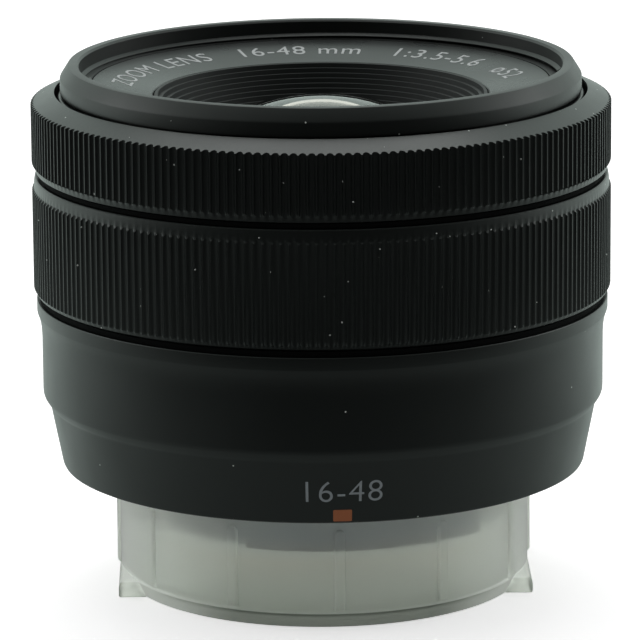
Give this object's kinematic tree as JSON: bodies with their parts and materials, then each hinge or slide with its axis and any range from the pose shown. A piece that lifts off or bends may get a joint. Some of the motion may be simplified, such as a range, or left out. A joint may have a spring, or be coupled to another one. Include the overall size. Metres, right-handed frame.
{
  "type": "camera zoom lens",
  "caption": "Compact collapsible power zoom camera lens with fluted zoom and control rings, bayonet mount, filter thread, iris, stabiliser, focus group and translucent rear cap.",
  "frame": {"origin": "centre of the rear cap's underside, on the optical axis", "axes": "+Z along the optical axis towards the subject, -Y through the mounting index"},
  "size_m": [0.0626, 0.0626, 0.0572],
  "materials": {
    "shell_black": "satin",
    "rim_black": "satin",
    "inner_black": "matt",
    "milky": "translucent",
    "mount_plastic": "satin",
    "steel": "machined",
    "gold": "plated",
    "board": "solder mask",
    "glass": "coated",
    "alloy": "anodised",
    "washer": "slip",
    "felt": "flock",
    "name_grey": "satin",
    "brass": "turned",
    "blade": "matt",
    "copper": "wound wire"
  },
  "bodies": {
    "barrel": {"bayonet_mount": "mount_plastic", "mount_screws": "steel", "contact_block": "inner_black", "contact_pins": "gold", "rear_baffle": "inner_black", "main_board": "board", "rear_barrel": "shell_black", "rear_frame": "inner_black", "ninth_element": "glass", "rear_element": "glass", "guide_rods": "steel", "focus_motor": "steel", "fixed_barrel": "inner_black", "guide_barrel": "alloy", "guide_screws": "steel", "zoom_motor": "steel", "ring_washers": "washer", "control_ring_clip": "steel", "dust_seal": "felt", "return_springs": "steel"},
    "cap": {"rear_cap": "milky"},
    "zoom_grip": {"zoom_ring": "shell_black"},
    "control_grip": {"control_ring": "shell_black"},
    "cam": {"cam_barrel": "alloy"},
    "pinion": {"drive_pinion": "brass"},
    "middle": {"mid_barrel": "shell_black", "mid_pins": "steel"},
    "front": {"front_barrel": "rim_black", "front_pins": "steel", "front_cell": "inner_black", "cell_screws": "steel", "name_ring": "name_grey", "front_retainer": "inner_black", "front_element": "glass", "second_element": "glass", "third_element": "glass"},
    "group": {"group_frame": "inner_black", "group_pins": "steel", "fourth_element": "glass", "cemented_doublet": "glass", "iris_base": "inner_black", "iris_cover": "inner_black", "iris_motor": "steel", "shift_coils": "copper"},
    "iris": {"iris_ring": "inner_black"},
    "shift_x": {"shift_carriage": "inner_black"},
    "shift_y": {"shift_frame": "inner_black", "shift_element": "glass", "shift_magnets": "steel"},
    "focus": {"focus_frame": "inner_black", "focus_element": "glass"},
    "screw": {"lead_screw": "steel"},
    "blade_1": {"iris_blade_1": "blade"},
    "blade_2": {"iris_blade_2": "blade"},
    "blade_3": {"iris_blade_3": "blade"},
    "blade_4": {"iris_blade_4": "blade"},
    "blade_5": {"iris_blade_5": "blade"},
    "blade_6": {"iris_blade_6": "blade"},
    "blade_7": {"iris_blade_7": "blade"}
  },
  "joints": [
    {"name": "cap_pull", "type": "slide", "parent": "cap", "child": "barrel", "axis": [0, 0, 1], "range_m": [0, 0.016]},
    {"name": "zoom_ring_turn", "type": "hinge", "parent": "barrel", "child": "zoom_grip", "pos_m": [0, 0, 0.0388], "axis": [0, 0, 1], "range_deg": [-12, 12], "stiffness_Nm_per_rad": 0.05, "deforming": ["return_springs"]},
    {"name": "control_ring_turn", "type": "hinge", "parent": "barrel", "child": "control_grip", "pos_m": [0, 0, 0.05], "axis": [0, 0, 1], "continuous": true},
    {"name": "cam_turn", "type": "hinge", "parent": "barrel", "child": "cam", "pos_m": [0, 0, 0.034], "axis": [0, 0, 1], "range_deg": [0, 100]},
    {"name": "pinion_turn", "type": "hinge", "parent": "barrel", "child": "pinion", "pos_m": [-0.0233, -0.00848, 0.0185], "axis": [0, 0, 1], "range_deg": [-934, 0]},
    {"name": "middle_slide", "type": "slide", "parent": "barrel", "child": "middle", "axis": [0, 0, 1], "range_m": [0, 0.0105]},
    {"name": "front_slide", "type": "slide", "parent": "barrel", "child": "front", "axis": [0, 0, 1], "range_m": [0, 0.021]},
    {"name": "group_slide", "type": "slide", "parent": "barrel", "child": "group", "axis": [0, 0, 1], "range_m": [0, 0.006]},
    {"name": "iris_turn", "type": "hinge", "parent": "group", "child": "iris", "pos_m": [0, 0, 0.0364], "axis": [0, 0, 1], "range_deg": [0, 5.97]},
    {"name": "shift_x_slide", "type": "slide", "parent": "group", "child": "shift_x", "axis": [1, 0, 0], "range_m": [-0.0004, 0.0004], "stiffness_N_per_m": 10},
    {"name": "shift_y_slide", "type": "slide", "parent": "shift_x", "child": "shift_y", "axis": [0, 1, 0], "range_m": [-0.0004, 0.0004], "stiffness_N_per_m": 10},
    {"name": "focus_slide", "type": "slide", "parent": "barrel", "child": "focus", "axis": [0, 0, 1], "range_m": [0, 0.003]},
    {"name": "screw_turn", "type": "hinge", "parent": "barrel", "child": "screw", "pos_m": [-0.0145, 0, 0.022], "axis": [0, 0, 1], "range_deg": [0, 1080]},
    {"name": "blade_1_turn", "type": "hinge", "parent": "group", "child": "blade_1", "pos_m": [0.011, 0, 0.0355], "axis": [0, 0, 1], "range_deg": [0, 28]},
    {"name": "blade_2_turn", "type": "hinge", "parent": "group", "child": "blade_2", "pos_m": [0.00686, 0.0086, 0.0355], "axis": [0, 0, 1], "range_deg": [0, 28]},
    {"name": "blade_3_turn", "type": "hinge", "parent": "group", "child": "blade_3", "pos_m": [-0.00245, 0.01072, 0.0355], "axis": [0, 0, 1], "range_deg": [0, 28]},
    {"name": "blade_4_turn", "type": "hinge", "parent": "group", "child": "blade_4", "pos_m": [-0.00991, 0.00477, 0.0355], "axis": [0, 0, 1], "range_deg": [0, 28]},
    {"name": "blade_5_turn", "type": "hinge", "parent": "group", "child": "blade_5", "pos_m": [-0.00991, -0.00477, 0.0355], "axis": [0, 0, 1], "range_deg": [0, 28]},
    {"name": "blade_6_turn", "type": "hinge", "parent": "group", "child": "blade_6", "pos_m": [-0.00245, -0.01072, 0.0355], "axis": [0, 0, 1], "range_deg": [0, 28]},
    {"name": "blade_7_turn", "type": "hinge", "parent": "group", "child": "blade_7", "pos_m": [0.00686, -0.0086, 0.0355], "axis": [0, 0, 1], "range_deg": [0, 28]}
  ],
  "couplings": [
    {"joint": "pinion_turn", "follows": "cam_turn", "ratio": -9.3333},
    {"joint": "middle_slide", "follows": "cam_turn", "m_per_rad": 0.0060161},
    {"joint": "front_slide", "follows": "cam_turn", "m_per_rad": 0.012032},
    {"joint": "group_slide", "follows": "cam_turn", "m_per_rad": 0.0034377},
    {"joint": "screw_turn", "follows": "focus_slide", "rad_per_m": 6283},
    {"joint": "blade_1_turn", "follows": "iris_turn", "ratio": 4.6876},
    {"joint": "blade_2_turn", "follows": "iris_turn", "ratio": 4.6876},
    {"joint": "blade_3_turn", "follows": "iris_turn", "ratio": 4.6876},
    {"joint": "blade_4_turn", "follows": "iris_turn", "ratio": 4.6876},
    {"joint": "blade_5_turn", "follows": "iris_turn", "ratio": 4.6876},
    {"joint": "blade_6_turn", "follows": "iris_turn", "ratio": 4.6876},
    {"joint": "blade_7_turn", "follows": "iris_turn", "ratio": 4.6876}
  ]
}
